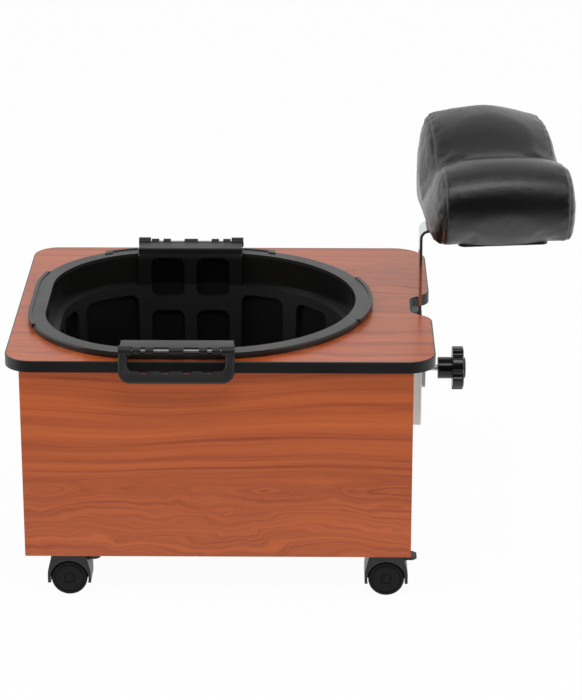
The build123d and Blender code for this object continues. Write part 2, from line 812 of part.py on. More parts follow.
def make_clamp():
    """Pad, screw, star knob and cap, all on the clamp's axis."""
    pad_x = bar_outer + running_gap
    screw_x = pad_x + pad_thick
    hub_x = nut_plate_outer + knob_stand_off
    head_x = hub_x + knob_hub_length
    save("clamp_pad", rod_x(pad_x, screw_x, rest_y, clamp_z, pad_radius))
    screw = rod_x(screw_x, hub_x + knob_bore_depth, rest_y, clamp_z, clamp_screw_radius)
    tip = screw.edges().filter_by(GeomType.CIRCLE).group_by(Axis.X)[0]
    save("clamp_screw", chamfer(tip, clamp_screw_radius - clamp_screw_tip))
    star = Circle(knob_radius)
    for index in range(knob_lobes):
        turn = (index + 0.5) * 360 / knob_lobes
        star -= Rot(0, 0, turn) * Pos(knob_radius + knob_notch_offset, 0) * Circle(knob_notch_radius)
    star = fillet(star.vertices(), knob_notch_round)
    head = extrude(star, knob_thick)
    head = chamfer(head.faces().sort_by(Axis.Z)[-1].edges(), knob_edge)
    hub = rod_z(0, 0, -knob_hub_length, 0, knob_hub_radius)
    seat_depth = knob_cap_thick - knob_cap_rise
    seat = rod_z(0, 0, knob_thick - seat_depth, knob_thick, knob_hub_radius + running_gap)
    bore_top = knob_bore_depth - knob_hub_length + running_gap
    bore_low = -knob_hub_length
    bore = rod_z(0, 0, bore_low, bore_top, clamp_screw_radius + running_gap)
    place = Pos(head_x, rest_y, clamp_z) * Rot(0, 90, 0)
    save("star_knob", place * (head + hub - seat - bore))
    cap_z = knob_thick - seat_depth + running_gap
    cap = rod_z(0, 0, cap_z, cap_z + knob_cap_thick, knob_hub_radius)
    save("knob_cap", place * chamfer(cap.faces().sort_by(Axis.Z)[-1].edges(), knob_cap_chamfer))


# ---------------------------------------------------------------- casters

def make_hood():
    """The caster's hood, drawn round the wheel's centre with the stem on its left."""
    top = caster_height - hood_top_gap - wheel_z
    skirt = -hood_skirt_drop
    brow = top - hood_edge
    side = make_face(Polyline(
        (-hood_half, skirt), (-hood_half, hood_shoulder), (-hood_top_half, brow), (-hood_top_half, top),
        (hood_top_half, top), (hood_top_half, brow), (hood_half, hood_shoulder), (hood_half, skirt),
        close=True))
    for end in (-hood_half, hood_half):
        side = fillet(corner_near(side, end, hood_shoulder), hood_round)
    hood = Rot(90, 0, 0) * extrude(side, caster_width / 2, both=True)
    hood = chamfer(hood.edges().filter_by(Axis.X).group_by(Axis.Z)[-1], hood_edge)
    well = wheel_radius + hood_gap
    for y0, y1 in ((web_thick / 2, caster_width), (-caster_width, -web_thick / 2)):
        hood -= rod_y(0, y0, y1, 0, well)
    hood -= rod_y(0, -caster_width, caster_width, 0, axle_radius + running_gap)
    neck_low = sqrt_height(well, caster_trail) + 2 * hood_gap
    return hood - rod_z(-caster_trail, 0, neck_low, caster_height, stem_neck_radius + running_gap)


def sqrt_height(radius, offset_x):
    """Height of a circle above its centre at a distance to the side."""
    return (radius ** 2 - offset_x ** 2) ** 0.5


def lever_slot():
    """The slot in the hood that the brake lever rocks in."""
    z0 = lever_height - wheel_z
    high = z0 + lever_thick + lever_slot_above
    half = lever_width / 2 + lever_gap / 2
    slot = block(lever_start - lever_gap, hood_half * 2, -half, half, z0 - lever_slot_below, high)
    pin_half = caster_width / 2 - lever_pin_inset
    pin_z = z0 + lever_thick / 2
    return slot + rod_y(lever_pivot, -pin_half, pin_half, pin_z, lever_pin_radius + running_gap)


def make_lever():
    """The brake lever: a flat tab half as wide as the caster, with clipped corners."""
    z0 = lever_height - wheel_z
    half = lever_width / 2
    tab = block(lever_start, lever_reach, -half, half, z0, z0 + lever_thick)
    tab = chamfer(tab.edges().filter_by(Axis.Z).group_by(Axis.X)[-1], lever_clip)
    return tab - rod_y(lever_pivot, -half, half, z0 + lever_thick / 2, lever_pin_radius + running_gap)


def make_lever_pin():
    half = caster_width / 2 - lever_pin_inset - running_gap
    return rod_y(lever_pivot, -half, half, lever_height - wheel_z + lever_thick / 2, lever_pin_radius)


def make_wheel():
    """One wheel of a twin caster, with its inner face at Y 0 and its domed face towards -Y."""
    r = wheel_radius
    w = wheel_width
    e = wheel_edge
    outline = Polyline(
        (0, 0), (r, 0), (r, w - wheel_dish - e), (r - e, w - wheel_dish), (wheel_hub_radius, w), (0, w),
        close=True)
    wheel = Rot(90, 0, 0) * revolve(Rot(90, 0, 0) * make_face(outline), Axis.Z)
    return wheel - rod_y(0, -w + wheel_cap_thick, 0, 0, axle_radius + running_gap)


def make_casters():
    hood = make_hood()
    braked_hood = hood - lever_slot()
    wheel = make_wheel()
    y_inner = web_thick / 2 + hood_gap / 2
    axle_half = y_inner + wheel_width - wheel_cap_thick - running_gap
    axle = rod_y(0, -axle_half, axle_half, 0, axle_radius)
    lever = make_lever()
    pin = make_lever_pin()
    for name, x, y in caster_places():
        flange_z = cabinet_bottom - socket_flange_thick
        stem_top = cabinet_bottom + stem_grip_length
        sleeve = rod_z(x, y, cabinet_bottom, stem_top, stem_radius + socket_wall)
        sleeve += rod_z(x, y, flange_z, cabinet_bottom, stem_radius + socket_wall + socket_flange)
        save(f"{name}_socket", sleeve - rod_z(x, y, flange_z, stem_top, stem_radius + running_gap))
        neck_low = wheel_z + sqrt_height(wheel_radius + hood_gap, caster_trail) + 2 * hood_gap + running_gap
        stem = rod_z(x, y, neck_low, flange_z, stem_neck_radius)
        stem += rod_z(x, y, flange_z, stem_top, stem_radius)
        save(f"{name}_stem", stem)
        place = Pos(x + caster_trail, y, wheel_z)
        braked = name.startswith("front")
        save(f"{name}_hood", place * (braked_hood if braked else hood))
        save(f"{name}_axle", place * axle)
        save(f"{name}_outer_wheel", place * Pos(0, -y_inner, 0) * wheel)
        save(f"{name}_inner_wheel", place * Rot(0, 0, 180) * Pos(0, -y_inner, 0) * wheel)
        if braked:
            save(f"{name}_brake_lever", place * lever)
            save(f"{name}_brake_pin", place * pin)


# ---------------------------------------------------------------- all the pieces

os.makedirs("parts", exist_ok=True)
save("top_board", make_top_board())
save("top_edging", make_top_edging())
make_panels()
make_corner_blocks()
save("foot_tub", make_tub())
make_tub_handles()
save("footrest_bar", make_bar())
make_cushion()
save("channel", make_channel())
save("channel_screws", make_channel_screws())
save("bar_guide", make_guide())
save("nut_plate", make_nut_plate())
make_clamp()
make_casters()
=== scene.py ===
import json
from math import cos, pi, radians, sin

import bmesh
import bpy
from mathutils import Matrix, Vector
from mathutils.bvhtree import BVHTree
from mathutils.noise import noise


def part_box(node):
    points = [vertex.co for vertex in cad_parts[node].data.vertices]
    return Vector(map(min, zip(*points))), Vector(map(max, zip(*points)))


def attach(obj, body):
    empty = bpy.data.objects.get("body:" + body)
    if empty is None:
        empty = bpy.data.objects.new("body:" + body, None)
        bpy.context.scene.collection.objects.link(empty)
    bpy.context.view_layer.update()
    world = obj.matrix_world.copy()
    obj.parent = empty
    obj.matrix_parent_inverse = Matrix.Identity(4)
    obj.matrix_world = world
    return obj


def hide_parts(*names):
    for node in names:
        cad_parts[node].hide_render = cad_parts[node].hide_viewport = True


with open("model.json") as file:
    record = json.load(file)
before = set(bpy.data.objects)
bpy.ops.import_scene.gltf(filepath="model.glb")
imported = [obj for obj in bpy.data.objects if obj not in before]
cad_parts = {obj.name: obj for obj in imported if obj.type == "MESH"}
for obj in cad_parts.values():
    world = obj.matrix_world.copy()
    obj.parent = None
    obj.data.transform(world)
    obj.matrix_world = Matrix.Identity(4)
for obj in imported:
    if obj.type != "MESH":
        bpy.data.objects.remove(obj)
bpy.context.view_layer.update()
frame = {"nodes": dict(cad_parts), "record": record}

# Pedicure cart: cherry laminate box, lift-out foot tub, padded footrest on a sliding bar.
# Metres, X to the right, Y to the back, Z up.

print("camera and studio")

cameraValues = {
    "place": (0.1283, -3.6833, 1.6598),
    "tiltDown": 0.3576,               # radians below the horizon
    "turnLeft": 0.0093,
    "lens": 141.05,
}

camData = bpy.data.cameras.new("camera")
camData.lens = cameraValues["lens"]
camData.clip_start = 0.05
camData.clip_end = 60
cam = bpy.data.objects.new("camera", camData)
cam.location = cameraValues["place"]
cam.rotation_euler = (pi / 2 - cameraValues["tiltDown"], 0, cameraValues["turnLeft"])
bpy.context.scene.collection.objects.link(cam)
bpy.context.scene.camera = cam
bpy.context.scene.view_settings.view_transform = "Standard"


def toLinear(hexColour):              # sRGB hex to linear RGBA
    parts = [int(hexColour[i:i + 2], 16) / 255 for i in (1, 3, 5)]
    return [p / 12.92 if p <= 0.04045 else ((p + 0.055) / 1.055) ** 2.4 for p in parts] + [1.0]


def addNode(tree, kind, inputs=None, **settings):   # a node with its settings, values and links
    node = tree.nodes.new("ShaderNode" + kind)
    for name, value in settings.items():
        setattr(node, name, value)
    for name, value in (inputs or {}).items():
        if isinstance(value, bpy.types.NodeSocket):
            tree.links.new(value, node.inputs[name])
        else:
            node.inputs[name].default_value = value
    return node


def setRamp(node, stops):             # colour stops as (place, hex or grey value)
    ramp = node.color_ramp
    while len(ramp.elements) < len(stops):
        ramp.elements.new(0.5)
    for element, (place, colour) in zip(ramp.elements, stops):
        element.position = place
        element.color = toLinear(colour) if isinstance(colour, str) else [colour, colour, colour, 1.0]
    return node.outputs["Color"]


def newMaterial(name):                # a bare material with its output and shader
    mat = bpy.data.materials.new(name)
    mat.use_nodes = True
    mat.node_tree.nodes.clear()
    tree = mat.node_tree
    shader = addNode(tree, "BsdfPrincipled")
    addNode(tree, "OutputMaterial", {"Surface": shader.outputs["BSDF"]})
    return mat, tree, shader


studioValues = {
    "floorColour": "#F4F3F2",
    "floorGlow": 0.96,                # share of the floor that shows as plain white to the camera
    "floorHalf": 9,
    "skyLight": 0.66,
    "backGlow": 1.0,                  # what shiny surfaces mirror from behind the cart
    "frontGlow": 0.04,                # and from the dark room before it
    "glowFade": (-0.45, 0.25),        # between these two, by direction along Y
    "zenithGlow": 0.70,               # share of that glow straight above, where no panel hangs
    "zenithFade": (0.6, 0.95),
    "paperGlow": 0.9,                 # the same for the paper on the floor
    "paperFade": (-1.1, -0.45),       # metres along Y
    "lamps": (                        # name, place, size, power, aims at
        ("lampKey", (0.35, -1.75, 2.75), (2.2, 0.9), 27.0, (0.2, 0.0, 0.4)),
        ("lampLeft", (-2.3, -0.6, 1.5), (1.4, 1.6), 15.0, (0.0, 0.0, 0.3)),
        ("lampRight", (2.4, -1.1, 1.3), (1.0, 1.4), 9.0, (0.1, 0.0, 0.3)),
    ),
}


def makeWorld(values):
    world = bpy.data.worlds.new("studio")
    bpy.context.scene.world = world
    world.use_nodes = True
    tree = world.node_tree
    tree.nodes.clear()
    where = addNode(tree, "TexCoord")
    split = addNode(tree, "SeparateXYZ", {"Vector": where.outputs["Generated"]})
    # paler towards the back wall, darker where the room is behind the camera
    darkEnd, paleEnd = values["glowFade"]
    lit = addNode(tree, "MapRange", {"Value": split.outputs["Y"], "From Min": darkEnd, "From Max": paleEnd,
                                     "To Min": values["frontGlow"], "To Max": values["backGlow"]})
    fadeStart, fadeEnd = values["zenithFade"]
    upper = addNode(tree, "MapRange", {"Value": split.outputs["Z"], "From Min": fadeStart,
                                       "From Max": fadeEnd, "To Min": 1.0, "To Max": values["zenithGlow"]})
    lit = addNode(tree, "Math", {0: lit.outputs["Result"], 1: upper.outputs["Result"]}, operation="MULTIPLY")
    path = addNode(tree, "LightPath")
    mirrored = addNode(tree, "Mix", {"Factor": path.outputs["Is Glossy Ray"], "A": values["skyLight"],
                                     "B": lit.outputs[0]}, data_type="FLOAT")
    seen = addNode(tree, "Math", {0: path.outputs["Is Camera Ray"], 1: path.outputs["Is Transmission Ray"]},
                   operation="MAXIMUM")
    strength = addNode(tree, "Mix", {"Factor": seen.outputs[0], "A": mirrored.outputs[0], "B": 1.0},
                       data_type="FLOAT")
    glow = addNode(tree, "Background", {"Color": (1, 1, 1, 1), "Strength": strength.outputs[0]})
    addNode(tree, "OutputWorld", {"Surface": glow.outputs[0]})


def makeLamps(values):
    for name, place, size, power, aim in values["lamps"]:
        light = bpy.data.lights.new(name, "AREA")
        light.shape = "RECTANGLE"
        light.size, light.size_y = size
        light.energy = power
        lamp = bpy.data.objects.new(name, light)
        lamp.location = place
        lamp.rotation_euler = (Vector(aim) - Vector(place)).to_track_quat("-Z", "Y").to_euler()
        bpy.context.scene.collection.objects.link(lamp)


def makeFloor(values):
    bm = bmesh.new()
    bmesh.ops.create_grid(bm, x_segments=1, y_segments=1, size=values["floorHalf"])
    floor = bpy.data.objects.new("studio_floor", bpy.data.meshes.new("studio_floor"))
    bm.to_mesh(floor.data)
    bm.free()
    bpy.context.scene.collection.objects.link(floor)
    mat, tree, shader = newMaterial("whitePaperSweep")     # matt paper: no shine, keeps a soft shadow
    shader.inputs["Base Color"].default_value = toLinear(values["floorColour"])
    shader.inputs["Roughness"].default_value = 0.9
    path = addNode(tree, "LightPath")
    where = addNode(tree, "TexCoord")
    split = addNode(tree, "SeparateXYZ", {"Vector": where.outputs["Object"]})
    # the paper ends in front of the cart, so shiny black pieces mirror a dark room there
    fadeStart, fadeEnd = values["paperFade"]
    paper = addNode(tree, "MapRange", {"Value": split.outputs["Y"], "From Min": fadeStart,
                                       "From Max": fadeEnd, "To Min": values["frontGlow"],
                                       "To Max": values["paperGlow"]})
    bright = addNode(tree, "Mix", {"Factor": path.outputs["Is Glossy Ray"], "A": 1.0,
                                   "B": paper.outputs["Result"]}, data_type="FLOAT")
    plain = addNode(tree, "Emission", {"Color": (1, 1, 1, 1), "Strength": bright.outputs[0]})
    share = addNode(tree, "Math", {0: path.outputs["Is Camera Ray"], 1: values["floorGlow"]},
                    operation="MULTIPLY")
    share = addNode(tree, "Math", {0: share.outputs[0], 1: path.outputs["Is Glossy Ray"]},
                    operation="MAXIMUM")
    both = addNode(tree, "MixShader", {0: share.outputs[0], 1: shader.outputs[0], 2: plain.outputs[0]})
    tree.links.new(both.outputs[0], tree.nodes["Material Output"].inputs["Surface"])
    floor.data.materials.append(mat)


makeWorld(studioValues)
makeLamps(studioValues)
makeFloor(studioValues)


# ---- materials

def paint(nodes, mat):                # gives carried-over pieces their finish
    for name in nodes:
        mesh = frame["nodes"][name].data
        mesh.materials.clear()
        mesh.materials.append(mat)


laminateValues = {
    "light": "#C05E2A",
    "middle": "#AE5223",
    "dark": "#893817",
    "lateWood": "#7A3420",            # the thin line at the end of a growth ring
    "ringGap": 0.0105,                # metres between two growth rings
    "streak": 0.0022,                 # width of a fine streak
    "pore": 0.0007,
    "waver": 0.034,                   # how far the grain wanders over the board
    "swirl": 0.030,                   # how far it is thrown about in the crown figure
    "roughness": 0.30,
}


def cherryLaminate(name, along, across, shift, crown, values):
    # printed paper under a satin melamine skin: fine streaks, drifting growth rings,
    # and a crown figure in one band
    mat, tree, shader = newMaterial(name)
    where = addNode(tree, "TexCoord")
    split = addNode(tree, "SeparateXYZ", {"Vector": where.outputs["Object"]})
    run = split.outputs[along]
    side = split.outputs[across]
    flat = addNode(tree, "CombineXYZ", {"X": run, "Y": side, "Z": shift}).outputs[0]
    slowPlace = addNode(tree, "VectorMath", {0: flat, 1: (2.1, 5.5, 1.0)}, operation="MULTIPLY")
    slow = addNode(tree, "TexNoise", {"Vector": slowPlace.outputs[0], "Scale": 1.0, "Detail": 1.5})
    crownPlace = addNode(tree, "VectorMath", {0: flat, 1: (8.5, 15.0, 3.0)}, operation="MULTIPLY")
    crowned = addNode(tree, "TexNoise", {"Vector": crownPlace.outputs[0], "Scale": 1.0, "Detail": 2.0,
                                         "Distortion": 0.7})
    inBand = addNode(tree, "MapRange", {"Value": side, "From Min": crown[0], "From Max": crown[1],
                                        "To Min": 0.0, "To Max": 1.0}, interpolation_type="SMOOTHSTEP")
    slowMove = addNode(tree, "Math", {0: slow.outputs[0], 1: values["waver"] * 2}, operation="MULTIPLY")
    crownMove = addNode(tree, "Math", {0: crowned.outputs[0], 1: values["swirl"] * 2}, operation="MULTIPLY")
    crownMove = addNode(tree, "Math", {0: crownMove.outputs[0], 1: inBand.outputs[0]}, operation="MULTIPLY")
    moved = addNode(tree, "Math", {0: side, 1: slowMove.outputs[0]}, operation="ADD")
    moved = addNode(tree, "Math", {0: moved.outputs[0], 1: crownMove.outputs[0]}, operation="ADD").outputs[0]
    warped = addNode(tree, "CombineXYZ", {"X": run, "Y": moved, "Z": shift}).outputs[0]

    ringPlace = addNode(tree, "VectorMath", {0: warped, 1: (0.9, 1.0 / values["ringGap"], 1.0)},
                        operation="MULTIPLY")
    rings = addNode(tree, "TexNoise", {"Vector": ringPlace.outputs[0], "Scale": 0.8, "Detail": 2.5,
                                       "Roughness": 0.55})
    streakPlace = addNode(tree, "VectorMath", {0: warped, 1: (7.0, 1.0 / values["streak"], 1.0)},
                          operation="MULTIPLY")
    streaks = addNode(tree, "TexNoise", {"Vector": streakPlace.outputs[0], "Scale": 0.6, "Detail": 2.0})
    porePlace = addNode(tree, "VectorMath", {0: warped, 1: (55.0, 1.0 / values["pore"], 1.0)},
                        operation="MULTIPLY")
    pores = addNode(tree, "TexNoise", {"Vector": porePlace.outputs[0], "Scale": 0.5, "Detail": 1.0})

    # late wood: each ring darkens slowly, then stops at a sharp line
    count = addNode(tree, "Math", {0: moved, 1: 1.0 / values["ringGap"]}, operation="MULTIPLY")
    uneven = addNode(tree, "Math", {0: slow.outputs[0], 1: 5.0}, operation="MULTIPLY")
    count = addNode(tree, "Math", {0: count.outputs[0], 1: uneven.outputs[0]}, operation="ADD")
    saw = addNode(tree, "Math", {0: count.outputs[0]}, operation="FRACT")
    late = addNode(tree, "ValToRGB", {"Fac": saw.outputs[0]})
    late = setRamp(late, ((0.0, 0.05), (0.55, 0.1), (0.86, 0.75), (0.93, 1.0), (1.0, 0.1)))
    lateShare = addNode(tree, "MapRange", {"Value": inBand.outputs[0], "To Min": 0.12, "To Max": 0.42})
    lateHere = addNode(tree, "MapRange", {"Value": crowned.outputs[0], "From Min": 0.35, "From Max": 0.65,
                                          "To Min": 0.3, "To Max": 1.0})
    late = addNode(tree, "Math", {0: late, 1: lateShare.outputs[0]}, operation="MULTIPLY")
    late = addNode(tree, "Math", {0: late.outputs[0], 1: lateHere.outputs[0]}, operation="MULTIPLY")

    tone = addNode(tree, "Math", {0: rings.outputs[0], 1: 0.62}, operation="MULTIPLY")
    fine = addNode(tree, "Math", {0: streaks.outputs[0], 1: 0.28}, operation="MULTIPLY")
    tone = addNode(tree, "Math", {0: tone.outputs[0], 1: fine.outputs[0]}, operation="ADD")
    speck = addNode(tree, "Math", {0: pores.outputs[0], 1: 0.10}, operation="MULTIPLY")
    tone = addNode(tree, "Math", {0: tone.outputs[0], 1: speck.outputs[0]}, operation="ADD")
    ramp = addNode(tree, "ValToRGB", {"Fac": tone.outputs[0]})
    colour = setRamp(ramp, ((0.33, values["dark"]), (0.49, values["middle"]), (0.66, values["light"])))
    darker = addNode(tree, "Mix", {"Factor": late.outputs[0], "A": colour,
                                   "B": toLinear(values["lateWood"])}, data_type="RGBA")
    tree.links.new(darker.outputs["Result"], shader.inputs["Base Color"])
    worn = addNode(tree, "MapRange", {"Value": streaks.outputs[0], "To Min": values["roughness"] - 0.03,
                                      "To Max": values["roughness"] + 0.06})
    tree.links.new(worn.outputs["Result"], shader.inputs["Roughness"])
    skin = addNode(tree, "TexNoise", {"Vector": where.outputs["Object"], "Scale": 1400.0, "Detail": 1.0})
    bump = addNode(tree, "Bump", {"Strength": 0.05, "Distance": 0.0002, "Height": skin.outputs[0]})
    tree.links.new(bump.outputs[0], shader.inputs["Normal"])
    shader.inputs["IOR"].default_value = 1.5
    return mat


print("cherry laminate")
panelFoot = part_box("front_panel")[0][2]
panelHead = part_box("front_panel")[1][2]
crownTop = panelFoot + 0.42 * (panelHead - panelFoot)  # the crown figure fills the lower part of the front
boards = {
    # material: along the grain, across it, which stretch of the print, where the crown figure fades in
    "cherryLaminateFront": ("X", "Z", 3.1, (crownTop, crownTop - 0.02)),
    "cherryLaminateSide": ("Y", "Z", 8.4, (0.17, 0.14)),
    "cherryLaminateTop": ("X", "Y", 5.7, (0.19, 0.14)),
}
frontLaminate, sideLaminate, topLaminate = [
    cherryLaminate(name, *setting, laminateValues) for name, setting in boards.items()]
paint(["front_panel", "back_panel"], frontLaminate)
paint(["left_panel", "right_panel"], sideLaminate)
paint(["top_board"], topLaminate)


plasticValues = {
    # name: base colour, roughness, grain size in metres, grain depth in metres, specular level
    "satinEdgingVinyl": ("#0F0E0E", 0.34, 0.0006, 0.00002, 0.5),
    "texturedBlackNylon": ("#141312", 0.44, 0.0007, 0.00006, 0.5),
    "satinBlackNylon": ("#121111", 0.36, 0.0012, 0.00003, 0.5),
    "polishedBlackPhenolic": ("#080707", 0.15, 0.004, 0.00002, 0.45),
    "blackWheelNylon": ("#0A0909", 0.46, 0.0014, 0.00003, 0.22),
    "greyGuideNylon": ("#1C1B1B", 0.42, 0.001, 0.00003, 0.5),
}


def mouldedPlastic(name, values):
    # moulded plastic: the fine spark-eroded skin of its mould, a little dust and handling in its shine
    colour, roughness, grain, depth, specular = values[name]
    mat, tree, shader = newMaterial(name)
    where = addNode(tree, "TexCoord").outputs["Object"]
    skin = addNode(tree, "TexNoise", {"Vector": where, "Scale": 1.0 / grain, "Detail": 2.0, "Roughness": 0.6})
    cloud = addNode(tree, "TexNoise", {"Vector": where, "Scale": 14.0, "Detail": 3.0})
    dusty = [c * 1.35 + 0.001 for c in toLinear(colour)[:3]] + [1.0]
    base = addNode(tree, "Mix", {"Factor": cloud.outputs[0], "A": toLinear(colour), "B": dusty},
                   data_type="RGBA")
    tree.links.new(base.outputs["Result"], shader.inputs["Base Color"])
    rough = addNode(tree, "MapRange", {"Value": cloud.outputs[0], "From Min": 0.3, "From Max": 0.7,
                                       "To Min": roughness - 0.04, "To Max": roughness + 0.07})
    tree.links.new(rough.outputs["Result"], shader.inputs["Roughness"])
    bump = addNode(tree, "Bump", {"Strength": 0.6, "Distance": depth, "Height": skin.outputs[0]})
    tree.links.new(bump.outputs[0], shader.inputs["Normal"])
    shader.inputs["IOR"].default_value = 1.5
    shader.inputs["Specular IOR Level"].default_value = specular
    return mat


print("plastics")
edgingVinyl = mouldedPlastic("satinEdgingVinyl", plasticValues)
texturedNylon = mouldedPlastic("texturedBlackNylon", plasticValues)
satinNylon = mouldedPlastic("satinBlackNylon", plasticValues)
phenolic = mouldedPlastic("polishedBlackPhenolic", plasticValues)
wheelNylon = mouldedPlastic("blackWheelNylon", plasticValues)
guideNylon = mouldedPlastic("greyGuideNylon", plasticValues)


tubValues = {
    "rim": "#1D1C1B",
    "inside": "#161514",
    "rimRoughness": 0.40,
    "glossRoughness": 0.17,
    "mattRoughness": 0.55,
    "glossDeep": 0.046,               # metres from the rim's top down to the ledge
    "rimDeep": 0.0050,                # and down to where the satin of the rim begins
    "grain": 0.0011,
    "grainDepth": 0.00010,
}


def tubPlastic(name, values):
    # vacuum-formed ABS: satin rim, glossy upper band where the sheet was drawn, pebbled skin below the ledge
    mat, tree, shader = newMaterial(name)
    where = addNode(tree, "TexCoord").outputs["Object"]
    split = addNode(tree, "SeparateXYZ", {"Vector": where})
    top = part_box("foot_tub")[1][2]
    ledge = top - values["glossDeep"]
    onRim = addNode(tree, "MapRange", {"Value": split.outputs["Z"],
                                       "From Min": top - values["rimDeep"] - 0.0025,
                                       "From Max": top - values["rimDeep"]})
    below = addNode(tree, "MapRange", {"Value": split.outputs["Z"], "From Min": ledge + 0.001,
                                       "From Max": ledge - 0.002})
    cloud = addNode(tree, "TexNoise", {"Vector": where, "Scale": 9.0, "Detail": 4.0, "Roughness": 0.6})
    colour = addNode(tree, "Mix", {"Factor": onRim.outputs[0], "A": toLinear(values["inside"]),
                                   "B": toLinear(values["rim"])}, data_type="RGBA")
    tree.links.new(colour.outputs["Result"], shader.inputs["Base Color"])
    rough = addNode(tree, "Mix", {"Factor": below.outputs[0], "A": values["glossRoughness"],
                                  "B": values["mattRoughness"]}, data_type="FLOAT")
    rough = addNode(tree, "Mix", {"Factor": onRim.outputs[0], "A": rough.outputs[0],
                                  "B": values["rimRoughness"]}, data_type="FLOAT")
    patch = addNode(tree, "MapRange", {"Value": cloud.outputs[0], "From Min": 0.3, "From Max": 0.7,
                                       "To Min": -0.03, "To Max": 0.06})
    rough = addNode(tree, "Math", {0: rough.outputs[0], 1: patch.outputs[0]}, operation="ADD")
    tree.links.new(rough.outputs[0], shader.inputs["Roughness"])
    pebbles = addNode(tree, "TexVoronoi", {"Vector": where, "Scale": 1.0 / values["grain"]},
                      feature="SMOOTH_F1")
    showing = addNode(tree, "Math", {0: pebbles.outputs["Distance"], 1: below.outputs[0]},
                      operation="MULTIPLY")
    # the slow ripple of a drawn sheet
    waves = addNode(tree, "TexNoise", {"Vector": where, "Scale": 22.0, "Detail": 1.0})
    ripple = addNode(tree, "Bump", {"Strength": 0.5, "Distance": 0.0008, "Height": waves.outputs[0]})
    bump = addNode(tree, "Bump", {"Strength": 0.7, "Distance": values["grainDepth"],
                                  "Height": showing.outputs[0], "Normal": ripple.outputs[0]})
    tree.links.new(bump.outputs[0], shader.inputs["Normal"])
    shader.inputs["IOR"].default_value = 1.53
    return mat


print("foot tub")
pocketShadeValues = {**tubValues, "inside": "#050505", "mattRoughness": 0.42}     # the same sheet, with painted shade: a darker colour for the shade in its pockets
formedAbs = tubPlastic("formedBlackAbs", tubValues)
pocketShadeAbs = tubPlastic("formedBlackAbsPocketShade", pocketShadeValues)


metalValues = {
    # name: colour, roughness, scratch direction, scratch width in metres, scratch share of the shine
    "polishedChrome": ("#D9DADC", 0.10, "Z", 0.0008, 0.06),
    "brightHingeRod": ("#98999B", 0.26, "X", 0.0003, 0.10),
    "zincPlatedSteel": ("#B9BCC0", 0.30, "X", 0.0006, 0.10),
    "yellowZincPlate": ("#C9B27A", 0.30, "Y", 0.0008, 0.12),
    "satinAluminium": ("#F4F3F0", 0.42, "Z", 0.0007, 0.10),
}


def platedMetal(name, values):
    # plated or extruded metal: long faint draw marks and a cloudy shine
    colour, roughness, along, scratch, share = values[name]
    mat, tree, shader = newMaterial(name)
    where = addNode(tree, "TexCoord").outputs["Object"]
    stretch = [1.0 / scratch] * 3
    stretch["XYZ".index(along)] = 12.0
    drawn = addNode(tree, "VectorMath", {0: where, 1: stretch}, operation="MULTIPLY")
    marks = addNode(tree, "TexNoise", {"Vector": drawn.outputs[0], "Scale": 1.0, "Detail": 2.0})
    cloud = addNode(tree, "TexNoise", {"Vector": where, "Scale": 30.0, "Detail": 3.0})
    both = addNode(tree, "Mix", {"Factor": 0.4, "A": marks.outputs[0], "B": cloud.outputs[0]},
                   data_type="FLOAT")
    rough = addNode(tree, "MapRange", {"Value": both.outputs[0], "From Min": 0.3, "From Max": 0.7,
                                       "To Min": roughness - share / 2, "To Max": roughness + share})
    tree.links.new(rough.outputs["Result"], shader.inputs["Roughness"])
    dull = [c * 0.86 for c in toLinear(colour)[:3]] + [1.0]
    tint = addNode(tree, "Mix", {"Factor": cloud.outputs[0], "A": toLinear(colour), "B": dull},
                   data_type="RGBA")
    tree.links.new(tint.outputs["Result"], shader.inputs["Base Color"])
    bump = addNode(tree, "Bump", {"Strength": 0.15, "Distance": 0.00004, "Height": marks.outputs[0]})
    tree.links.new(bump.outputs[0], shader.inputs["Normal"])
    shader.inputs["Metallic"].default_value = 1.0
    return mat


print("metals")
chrome = platedMetal("polishedChrome", metalValues)
hingeSteel = platedMetal("brightHingeRod", metalValues)
zinc = platedMetal("zincPlatedSteel", metalValues)
yellowZinc = platedMetal("yellowZincPlate", metalValues)
aluminium = platedMetal("satinAluminium", metalValues)
paint(["front_hinge_rod", "back_hinge_rod"], hingeSteel)
paint([n for n in frame["nodes"] if n.endswith(("_stem", "_axle", "_brake_pin"))] + ["clamp_screw"], zinc)
paint(["clamp_pad"], yellowZinc)


bareWoodValues = {
    # name: light, dark, stretch of the figure along X, Y and Z per metre
    "rawParticleBoard": ("#C3A47B", "#8C6D49", (260.0, 260.0, 420.0)),
    "bareBeech": ("#D8B68C", "#B98F62", (40.0, 700.0, 700.0)),
}


def bareWood(name, values):
    # unfinished wood: pressed chips or straight beech, dry and without shine
    light, dark, stretch = values[name]
    mat, tree, shader = newMaterial(name)
    where = addNode(tree, "TexCoord").outputs["Object"]
    placed = addNode(tree, "VectorMath", {0: where, 1: stretch}, operation="MULTIPLY")
    chips = addNode(tree, "TexVoronoi", {"Vector": placed.outputs[0], "Scale": 1.0})
    fibre = addNode(tree, "TexNoise", {"Vector": placed.outputs[0], "Scale": 2.0, "Detail": 4.0})
    both = addNode(tree, "Mix", {"Factor": 0.5, "A": chips.outputs["Distance"], "B": fibre.outputs[0]},
                   data_type="FLOAT")
    ramp = addNode(tree, "ValToRGB", {"Fac": both.outputs[0]})
    tree.links.new(setRamp(ramp, ((0.25, dark), (0.6, light))), shader.inputs["Base Color"])
    bump = addNode(tree, "Bump", {"Strength": 0.4, "Distance": 0.0003, "Height": both.outputs[0]})
    tree.links.new(bump.outputs[0], shader.inputs["Normal"])
    shader.inputs["Roughness"].default_value = 0.85
    return mat


print("bare wood")
particleBoard = bareWood("rawParticleBoard", bareWoodValues)
beech = bareWood("bareBeech", bareWoodValues)
paint(["floor_board", "corner_blocks"], particleBoard)
paint(["dowels"], beech)


